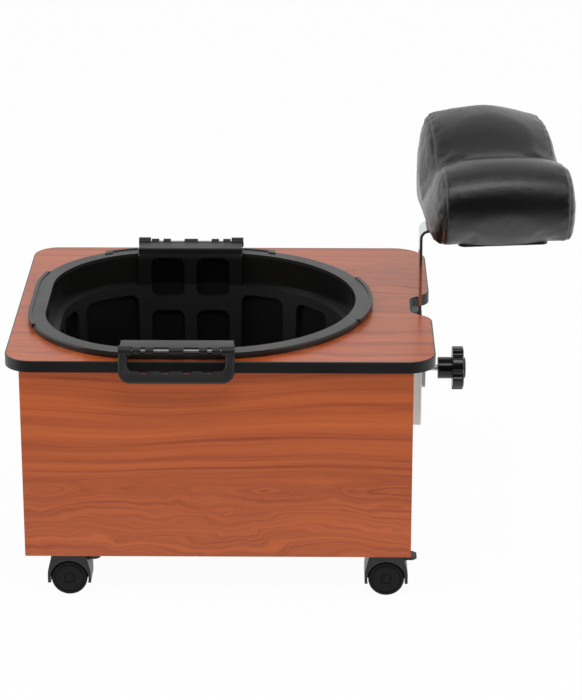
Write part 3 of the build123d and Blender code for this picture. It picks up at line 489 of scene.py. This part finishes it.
vinylValues = {
    "black": "#0B0A0A",
    "worn": "#13110F",
    "roughness": 0.21,
    "grain": 0.0016,                  # pebble size, coarser than the real 0.7 mm so that it shows
    "grainDepth": 0.00016,
    "crease": 0.012,
}


def cushionVinyl(values):
    # upholstery vinyl: pebbled skin with soft shine, finer creases, a little paler where it is rubbed
    mat, tree, shader = newMaterial("softBlackVinyl")
    where = addNode(tree, "TexCoord").outputs["Object"]
    pebbles = addNode(tree, "TexVoronoi", {"Vector": where, "Scale": 1.0 / values["grain"],
                                           "Randomness": 0.9}, feature="DISTANCE_TO_EDGE")
    pits = addNode(tree, "MapRange", {"Value": pebbles.outputs["Distance"], "From Max": 0.18})
    fold = addNode(tree, "TexNoise", {"Vector": where, "Scale": 1.0 / values["crease"], "Detail": 3.0,
                                      "Distortion": 0.6})
    rubbed = addNode(tree, "TexNoise", {"Vector": where, "Scale": 11.0, "Detail": 4.0})
    colour = addNode(tree, "Mix", {"Factor": rubbed.outputs[0], "A": toLinear(values["black"]),
                                   "B": toLinear(values["worn"])}, data_type="RGBA")
    tree.links.new(colour.outputs["Result"], shader.inputs["Base Color"])
    rough = addNode(tree, "MapRange", {"Value": rubbed.outputs[0], "From Min": 0.3, "From Max": 0.7,
                                       "To Min": values["roughness"] - 0.03,
                                       "To Max": values["roughness"] + 0.06})
    tree.links.new(rough.outputs["Result"], shader.inputs["Roughness"])
    soft = addNode(tree, "Bump", {"Strength": 0.35, "Distance": 0.0008, "Height": fold.outputs[0]})
    bump = addNode(tree, "Bump", {"Strength": 0.5, "Distance": values["grainDepth"],
                                  "Height": pits.outputs[0], "Normal": soft.outputs[0]})
    tree.links.new(bump.outputs[0], shader.inputs["Normal"])
    shader.inputs["IOR"].default_value = 1.58
    shader.inputs["Specular IOR Level"].default_value = 0.62
    return mat


vinyl = cushionVinyl(vinylValues)
paint(["cushion_board"], vinyl)       # the cover is pulled round its board and stapled beneath


# ---- pieces made from a node's own shape, with the rounded edges that catch the light

def newPiece(name, bm, mat, body, slot):
    mesh = bpy.data.meshes.new(name)
    bm.to_mesh(mesh)
    bm.free()
    piece = bpy.data.objects.new(name, mesh)
    bpy.context.scene.collection.objects.link(piece)
    mesh.materials.append(mat)
    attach(piece, body)
    return piece


def shadeSmooth(mesh, angle):         # smooth faces, with edges sharper than the angle kept crisp
    mesh.shade_smooth()
    mesh.set_sharp_from_angle(angle=radians(angle))


def bodyOf(node):
    for body, nodes in frame["record"]["behaviour"]["bodies"].items():
        if node in nodes:
            return body


def slotOf(node):
    for part in frame["record"]["subparts"]:
        if part["node"] == node:
            return part["material_slot"]


roundingValues = {
    "weld": 0.000005,                 # corners nearer than this are one
    "flat": 0.6,                      # degrees under which two faces are one flat
    "segments": 3,
    "keepOver": 32,                   # degrees over which an edge is rounded
    "smoothUnder": 30,
}


def roundedCopy(node, mat, width, values):
    bm = bmesh.new()
    bm.from_mesh(frame["nodes"][node].data)
    bmesh.ops.remove_doubles(bm, verts=bm.verts, dist=values["weld"])
    bmesh.ops.dissolve_limit(bm, angle_limit=radians(values["flat"]), verts=bm.verts, edges=bm.edges)
    bmesh.ops.dissolve_degenerate(bm, edges=bm.edges, dist=values["weld"])
    piece = newPiece(node + "_finished", bm, mat, bodyOf(node), slotOf(node))
    bevel = piece.modifiers.new("soft edges", "BEVEL")
    bevel.width = width
    bevel.segments = values["segments"]
    bevel.limit_method = "ANGLE"
    bevel.angle_limit = radians(values["keepOver"])
    bevel.harden_normals = True
    bevel.use_clamp_overlap = True
    shadeSmooth(piece.data, values["smoothUnder"])
    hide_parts(node)


print("rounded edges")
edgeValues = {
    # node: width of the rounded edge in metres, finish
    "front_handle": (0.0009, texturedNylon),
    "back_handle": (0.0009, texturedNylon),
    "front_hinge_plate": (0.0006, texturedNylon),
    "back_hinge_plate": (0.0006, texturedNylon),
    "footrest_bar": (0.0006, chrome),
    "channel": (0.0004, aluminium),
    "bar_guide": (0.0008, guideNylon),
    "nut_plate": (0.0005, zinc),
    "star_knob": (0.0016, phenolic),
    "knob_cap": (0.0007, phenolic),
}
casterEdge = 0.0007                   # the same for the casters' hoods and brake levers

for node, (width, finish) in edgeValues.items():
    roundedCopy(node, finish, width, roundingValues)
paint(["top_edging"], edgingVinyl)
for node in frame["nodes"]:
    if node.endswith(("_hood", "_brake_lever")):
        roundedCopy(node, satinNylon, casterEdge, roundingValues)
    if node.endswith("_socket"):
        paint([node], satinNylon)


# ---- foot tub: its pressed pockets get their own material, painted darker as shade

tubShape = {
    "length": 0.479,                  # of the rim's outline, without what stands out past its ends
    "depth": 0.450,
    "corner": 0.170,
    "rim": 0.022,
    "ledge": 0.011,
    "draft": 0.04366,                 # how far a wall leans in over one metre of depth
    "pocketStep": 0.0045,             # a wall face this far outside the plain wall belongs to a pocket
    "pocketMargin": 0.004,            # pockets of the lower walls begin this far under the ledge
    "rimBand": 0.012,                 # no pocket reaches this far up
    "floorBand": 0.020,               # nor this far down
    "panelHalf": 0.078,               # half width of the panels under the handles, which have upper pockets
}

tubLow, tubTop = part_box("foot_tub")
panelX = sum(corner[0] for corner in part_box("front_hinge_plate")) / 2


def tubInset(x, y, shape):            # how far inside the rim's outline a point lies, in plan
    left = tubLow[0] + ((tubTop[0] - tubLow[0]) - shape["length"]) / 2
    half = shape["depth"] / 2
    endX = left + shape["length"] - half
    cornerX = left + shape["corner"]
    rise = half - shape["corner"]
    side = abs(y - (tubLow[1] + tubTop[1]) / 2)
    if x > endX:
        return half - Vector((x - endX, side)).length
    if x < cornerX and side > rise:
        return shape["corner"] - Vector((x - cornerX, side - rise)).length
    return min(half - side, x - left)


tub = frame["nodes"]["foot_tub"].data
tub.materials.clear()
tub.materials.append(formedAbs)
tub.materials.append(pocketShadeAbs)
for face in tub.polygons:
    centre = face.center
    deep = tubTop[2] - centre.z
    if deep < tubShape["rimBand"] or centre.z < tubLow[2] + tubShape["floorBand"]:
        continue
    plain = tubShape["rim"] + tubShape["ledge"] + deep * tubShape["draft"]
    inPocket = tubInset(centre.x, centre.y, tubShape) < plain - tubShape["pocketStep"]
    inPanel = abs(centre.x - panelX) < tubShape["panelHalf"]
    if inPocket and (deep > tubValues["glossDeep"] + tubShape["pocketMargin"] or inPanel):
        # this pocket face takes the painted shade
        face.material_index = 1


# ---- caster wheels

wheelValues = {
    "edge": 0.0022,                   # rounding of the tread's outer edge
    "groove": 0.0011,                 # ring groove in the face
    "grooveAt": 0.80,                 # share of the radius
    "grooveWide": 0.0016,
    "dish": 0.0014,
    "hub": 0.0062,
    "hubStep": 0.0008,
    "hubRing": 0.0012,                # width of the small valley round the hub
    "hubRise": 0.0002,
    "coverThick": 0.004,              # what closes the bore behind the hub
    "boreGap": 0.0001,
    "steps": 72,
    "smoothUnder": 38,
}


def makeWheel(node, values):
    low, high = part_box(node)
    centre = (Vector(low) + Vector(high)) / 2
    radius = (high[2] - low[2]) / 2
    width = high[1] - low[1]
    outward = -1 if node.endswith("_outer_wheel") else 1
    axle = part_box(node.rsplit("_", 2)[0] + "_axle")
    bore = (axle[1][2] - axle[0][2]) / 2 + values["boreGap"]
    edge = values["edge"]
    groove = radius * values["grooveAt"]
    half = values["grooveWide"] / 2
    face = width - values["dish"]
    deep = face - values["groove"]
    # half section from the bore round the inner face, the tread and the outer face to the hub
    tread = radius - edge
    section = [(bore, 0.0), (tread, 0.0)]
    section += [(tread + edge * sin(a), edge - edge * cos(a)) for a in (pi / 6, pi / 3, pi / 2)]
    section += [(tread + edge * cos(a), face - edge + edge * sin(a)) for a in (0.0, pi / 6, pi / 3, pi / 2)]
    section += [(groove + half, face), (groove + half * 0.6, deep),
                (groove - half * 0.6, deep), (groove - half, face)]
    hub, ring, lip = values["hub"], values["hubRing"], face + values["hubRise"]
    section += [(hub + ring, lip), (hub + ring / 2, face - values["hubStep"] / 2), (hub, lip),
                (hub * 0.8, width - 0.0001), (0.0, width)]
    bm = bmesh.new()
    inner = [(0.0, width - values["coverThick"]), (bore, width - values["coverThick"])]
    verts = [bm.verts.new((r, 0, y)) for r, y in inner + section]
    edges = [bm.edges.new(pair) for pair in zip(verts, verts[1:])]
    bmesh.ops.spin(bm, geom=verts + edges, axis=(0, 0, 1), cent=(0, 0, 0), angle=2 * pi,
                   steps=values["steps"], use_merge=True)
    bmesh.ops.remove_doubles(bm, verts=bm.verts, dist=0.00001)
    bmesh.ops.dissolve_degenerate(bm, edges=bm.edges, dist=0.00001)
    bmesh.ops.recalc_face_normals(bm, faces=bm.faces)
    innerY = high[1] if outward < 0 else low[1]
    turn = Matrix.Rotation(pi / 2 if outward < 0 else -pi / 2, 4, "X")
    bmesh.ops.transform(bm, matrix=Matrix.Translation((centre.x, innerY, centre.z)) @ turn, verts=bm.verts)
    piece = newPiece(node + "_finished", bm, wheelNylon, bodyOf(node), slotOf(node))
    shadeSmooth(piece.data, values["smoothUnder"])
    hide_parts(node)


print("caster wheels")
for node in frame["nodes"]:
    if node.endswith("_wheel"):
        makeWheel(node, wheelValues)


# ---- screws

screwValues = {
    "headHigh": 0.0024,
    "bevel": 0.0007,
    "recessWide": 0.0009,
    "recessLong": 0.0044,
    "recessDeep": 0.0011,
    "recessOver": 0.00008,            # the slot in painted shade stands this far out, so that it isn't hidden
    "segments": 24,
    "smoothUnder": 35,
}


def looseParts(bm):                   # the groups of corners that hang together
    left = set(bm.verts)
    for first in bm.verts:
        if first not in left:
            continue
        left.discard(first)
        group, stack = set(), [first]
        while stack:
            vert = stack.pop()
            group.add(vert)
            for edge in vert.link_edges:
                other = edge.other_vert(vert)
                if other in left:
                    left.discard(other)
                    stack.append(other)
        yield group


def panHeadScrew(headRadius, length, values):          # stands on Z with its head's underside at 0
    part = bmesh.new()
    head = values["headHigh"]
    bmesh.ops.create_circle(part, cap_ends=True, segments=values["segments"], radius=headRadius)
    made = bmesh.ops.extrude_face_region(part, geom=part.faces[:])
    lifted = [g for g in made["geom"] if isinstance(g, bmesh.types.BMVert)]
    bmesh.ops.translate(part, vec=(0, 0, head), verts=lifted)
    rim = [e for e in part.edges if all(abs(v.co.z - head) < 1e-6 for v in e.verts)]
    bmesh.ops.bevel(part, geom=rim, offset=values["bevel"], segments=3, profile=0.5,
                    affect="EDGES", material=-1)
    bmesh.ops.recalc_face_normals(part, faces=part.faces)
    shank = bmesh.ops.create_cone(part, cap_ends=True, segments=16, radius1=headRadius / 2,
                                  radius2=headRadius / 2, depth=length - head)
    bmesh.ops.translate(part, vec=(0, 0, -(length - head) / 2), verts=shank["verts"])
    size = Matrix.Diagonal((values["recessLong"], values["recessWide"], values["recessDeep"], 1))
    sunk = Matrix.Translation((0, 0, head - values["recessDeep"] / 2 + values["recessOver"]))
    for turn in (0, pi / 2):          # the cross recess shows as two slots in painted shade, let into the head
        slot = bmesh.ops.create_cube(part, size=1.0)
        bmesh.ops.transform(part, matrix=Matrix.Rotation(turn, 4, "Z") @ sunk @ size, verts=slot["verts"])
        for face in {f for v in slot["verts"] for f in v.link_faces}:
            face.material_index = 1
    return part


def makeScrews(node, axis, headSide, values):
    # each loose part of the node becomes a pan-head screw in the same place
    # headSide is 1 or -1, the way along the axis that the heads look
    source = bmesh.new()
    source.from_mesh(frame["nodes"][node].data)
    bmesh.ops.remove_doubles(source, verts=source.verts, dist=roundingValues["weld"])
    whole = bmesh.new()
    index = "XYZ".index(axis)
    if axis == "X":
        spin = Matrix.Rotation(pi / 2 * headSide, 4, "Y")
    else:
        spin = Matrix.Identity(4) if headSide > 0 else Matrix.Rotation(pi, 4, "X")
    for group in looseParts(source):
        low = Vector([min(v.co[i] for v in group) for i in range(3)])
        high = Vector([max(v.co[i] for v in group) for i in range(3)])
        headRadius = (high[(index + 1) % 3] - low[(index + 1) % 3]) / 2
        part = panHeadScrew(headRadius, high[index] - low[index], values)
        place = (low + high) / 2
        place[index] = (high[index] if headSide > 0 else low[index]) - headSide * values["headHigh"]
        bmesh.ops.transform(part, matrix=Matrix.Translation(place) @ spin, verts=part.verts)
        mesh = bpy.data.meshes.new("screw")
        part.to_mesh(mesh)
        part.free()
        whole.from_mesh(mesh)
        bpy.data.meshes.remove(mesh)
    source.free()
    piece = newPiece(node + "_finished", whole, zinc, bodyOf(node), slotOf(node))
    piece.data.materials.append(recessShade)
    shadeSmooth(piece.data, values["smoothUnder"])
    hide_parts(node)


def shadedRecess():
    # painted shade for the bottom of a driver recess: plated steel that light hardly reaches
    mat, tree, shader = newMaterial("recessShade")
    where = addNode(tree, "TexCoord").outputs["Object"]
    cloud = addNode(tree, "TexNoise", {"Vector": where, "Scale": 900.0, "Detail": 2.0})
    ramp = addNode(tree, "ValToRGB", {"Fac": cloud.outputs[0]})
    tree.links.new(setRamp(ramp, ((0.3, "#1A1A1A"), (0.7, "#2C2C2C"))), shader.inputs["Base Color"])
    shader.inputs["Roughness"].default_value = 0.7
    return mat


print("screws")
recessShade = shadedRecess()
makeScrews("channel_screws", "X", 1, screwValues)
makeScrews("cushion_screws", "Z", -1, screwValues)
makeScrews("block_screws", "Z", -1, screwValues)


# ---- footrest cushion

cushionValues = {
    "middle": (0.3775, -0.017),       # the point on the pad that it is turned about
    "turn": 6.5,                      # degrees about Z, as the pad is set on its bar
    "seamAt": 0.083,                  # from the middle to each side seam, at half depth
    "seamLean": 1.6,                  # degrees that the seams close up towards the back
    "shrink": 0.003,                  # the starting form is this much smaller all round
    "smoothPasses": 4,
    "voxel": 0.0045,
    "pressure": 4.0,
    "stretch": 12,                    # how stiff the cover is against pulling
    "bend": 1.5,
    "frames": 20,
    "cap": 0.006,                     # the most that a point may swell
    "rightDrop": 0.008,               # the ridge sinks towards its right end
    "dropFromX": (0.0, 0.09),         # where that begins and where it is full, in metres
    "dropFromY": (-0.02, 0.10),
    "dropFromHeight": (0.3, 1.0),     # the same as shares of the cushion's height
    "groove": 0.0013,
    "grooveWide": 0.0032,
    "pucker": 0.0012,
    "puckerReach": (0.002, 0.022),    # from the seam
    "flatUnder": 0.006,               # no seam shows this near to the board
    "rayHeight": 0.058,               # above the board, from where the seams are looked for
    "stitchGap": 0.0040,
    "stitchLong": 0.0027,
    "stitchThick": 0.00042,
    "rowOffset": 0.0034,
    "rowSweep": (-40, 221, 2),        # degrees round the cover from straight ahead: first, end, step
    "rowOver": 0.008,                 # a row ends this far above the board
}

cushionNode = frame["nodes"]["cushion_pad"]
cushionLow, cushionHigh = [Vector(c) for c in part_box("cushion_pad")]
cushionMiddle = Vector((*cushionValues["middle"], cushionLow.z))
toCushion = Matrix.Rotation(-radians(cushionValues["turn"]), 4, "Z") @ Matrix.Translation(-cushionMiddle)
fromCushion = toCushion.inverted()


def seamX(side, y):                   # where a side seam runs, in the cushion's own place
    return side * (cushionValues["seamAt"] - y * sin(radians(cushionValues["seamLean"])))


def smoothStep(low, high, value):
    share = min(max((value - low) / (high - low), 0.0), 1.0)
    return share * share * (3 - 2 * share)


def bakeModifiers(obj):               # what the modifiers make becomes the mesh itself
    graph = bpy.context.evaluated_depsgraph_get()
    made = bpy.data.meshes.new_from_object(obj.evaluated_get(graph))
    old = obj.data
    obj.modifiers.clear()
    obj.data = made
    bpy.data.meshes.remove(old)


def cushionStart(values):
    bm = bmesh.new()
    bm.from_mesh(cushionNode.data)
    bmesh.ops.remove_doubles(bm, verts=bm.verts, dist=0.00001)
    mesh = bpy.data.meshes.new("footrest_cushion")
    bm.to_mesh(mesh)
    bm.free()
    pad = bpy.data.objects.new("footrest_cushion", mesh)
    bpy.context.scene.collection.objects.link(pad)
    remesh = pad.modifiers.new("even mesh", "REMESH")
    remesh.mode = "VOXEL"
    remesh.voxel_size = values["voxel"]
    bakeModifiers(pad)
    bm = bmesh.new()
    bm.from_mesh(pad.data)
    for _ in range(values["smoothPasses"]):
        bmesh.ops.smooth_vert(bm, verts=bm.verts, factor=0.5,
                              use_axis_x=True, use_axis_y=True, use_axis_z=True)
    bm.normal_update()
    for vert in bm.verts:
        vert.co -= vert.normal * values["shrink"]
    bm.to_mesh(pad.data)
    bm.free()
    return pad


def swell(pad, values):
    start = [v.co.copy() for v in pad.data.vertices]
    cloth = pad.modifiers.new("cloth", "CLOTH")
    cloth.settings.use_pressure = True
    cloth.settings.uniform_pressure_force = values["pressure"]
    cloth.settings.effector_weights.gravity = 0
    cloth.settings.tension_stiffness = values["stretch"]
    cloth.settings.compression_stiffness = values["stretch"]
    cloth.settings.bending_stiffness = values["bend"]
    scene = bpy.context.scene
    scene.frame_start, scene.frame_end = 1, values["frames"]
    for step in range(1, values["frames"] + 1):
        scene.frame_set(step)
    bakeModifiers(pad)
    scene.frame_set(1)
    for vert, before in zip(pad.data.vertices, start):
        move = vert.co - before
        if move.length > values["cap"]:
            vert.co = before + move.normalized() * values["cap"]


def shapeCushion(pad, values):
    # flat under the board, lower at the right of the ridge, drawn in along both seams
    height = cushionHigh.z - cushionLow.z
    for vert in pad.data.vertices:
        p = toCushion @ vert.co
        p.z = max(p.z, 0.0)
        ridge = smoothStep(*values["dropFromY"], p.y) * smoothStep(*values["dropFromX"], p.x)
        ridge *= smoothStep(*values["dropFromHeight"], p.z / height)
        p.z -= values["rightDrop"] * ridge
        vert.co = fromCushion @ p
    pad.data.update()
    normals = [v.normal.copy() for v in pad.data.vertices]
    for vert, normal in zip(pad.data.vertices, normals):
        p = toCushion @ vert.co
        if p.z < values["flatUnder"]:
            continue
        side = 1 if p.x > 0 else -1
        off = abs(p.x - seamX(side, p.y))
        dip = 1 - smoothStep(0.0, values["grooveWide"], off)
        near = 1 - smoothStep(*values["puckerReach"], off)
        crumple = noise(Vector((p.x * 60, p.y * 95, p.z * 95))) * near
        vert.co -= normal * (values["groove"] * dip + values["pucker"] * crumple)


print("footrest cushion")
cushion = cushionStart(cushionValues)
swell(cushion, cushionValues)
finer = cushion.modifiers.new("finer", "SUBSURF")
finer.levels = finer.render_levels = 1
bakeModifiers(cushion)
shapeCushion(cushion, cushionValues)
cushion.data.materials.clear()
cushion.data.materials.append(vinyl)
cushion.data.shade_smooth()
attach(cushion, "footrest")
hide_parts("cushion_pad")


def seamLine(tree, side, offset, values):
    # points on the cover beside one seam, from its low front edge over the top to the back
    points = []
    for step in range(*values["rowSweep"]):
        angle = radians(step)
        aim = Vector((0, -cos(angle), sin(angle)))
        y = 0.0
        hit = None
        for _ in range(3):            # the seam leans, so its place depends on how far back the cover is
            origin = fromCushion @ Vector((seamX(side, y) + side * offset, 0.0, values["rayHeight"]))
            away = (fromCushion.to_3x3() @ aim).normalized()
            hit, normal, _, _ = tree.ray_cast(origin, away, 0.4)
            if hit is None:
                break
            y = (toCushion @ hit).y
        if hit is not None and (toCushion @ hit).z > values["rowOver"]:
            points.append((hit, normal))
    return points


def stitchRow(bm, line, values):
    travelled = 0.0
    nextStitch = values["stitchGap"]
    for (a, na), (b, nb) in zip(line, line[1:]):
        gap = (b - a).length
        while gap > 1e-6 and travelled + gap >= nextStitch:
            share = (nextStitch - travelled) / gap
            centre = a.lerp(b, share)
            normal = na.lerp(nb, share).normalized()
            along = (b - a).normalized()
            across = normal.cross(along).normalized()
            along = across.cross(normal).normalized()
            made = bmesh.ops.create_icosphere(bm, subdivisions=1, radius=1.0)
            thick = values["stitchThick"]
            size = Matrix.Diagonal((values["stitchLong"] / 2, thick, thick, 1))
            turn = Matrix((along, across, normal)).transposed().to_4x4()
            place = Matrix.Translation(centre + normal * thick * 0.4)    # sunk a little into the cover
            bmesh.ops.transform(bm, matrix=place @ turn @ size, verts=made["verts"])
            nextStitch += values["stitchGap"]
        travelled += gap


def threadFinish():
    # bonded nylon thread: black, twisted, slightly brighter than the vinyl
    mat, tree, shader = newMaterial("blackNylonThread")
    where = addNode(tree, "TexCoord").outputs["Object"]
    twist = addNode(tree, "TexNoise", {"Vector": where, "Scale": 2500.0, "Detail": 1.0})
    ramp = addNode(tree, "ValToRGB", {"Fac": twist.outputs[0]})
    tree.links.new(setRamp(ramp, ((0.35, "#2B2A2A"), (0.65, "#5A5958"))), shader.inputs["Base Color"])
    shader.inputs["Roughness"].default_value = 0.55
    return mat


print("stitching")
thread = threadFinish()
coverTree = BVHTree.FromPolygons([v.co for v in cushion.data.vertices],
                                 [p.vertices for p in cushion.data.polygons])
stitches = bmesh.new()
for side in (-1, 1):
    row = seamLine(coverTree, side, -cushionValues["rowOffset"], cushionValues)
    stitchRow(stitches, row, cushionValues)
stitching = newPiece("cushion_stitching", stitches, thread, "footrest", "black_vinyl")
stitching.data.shade_smooth()
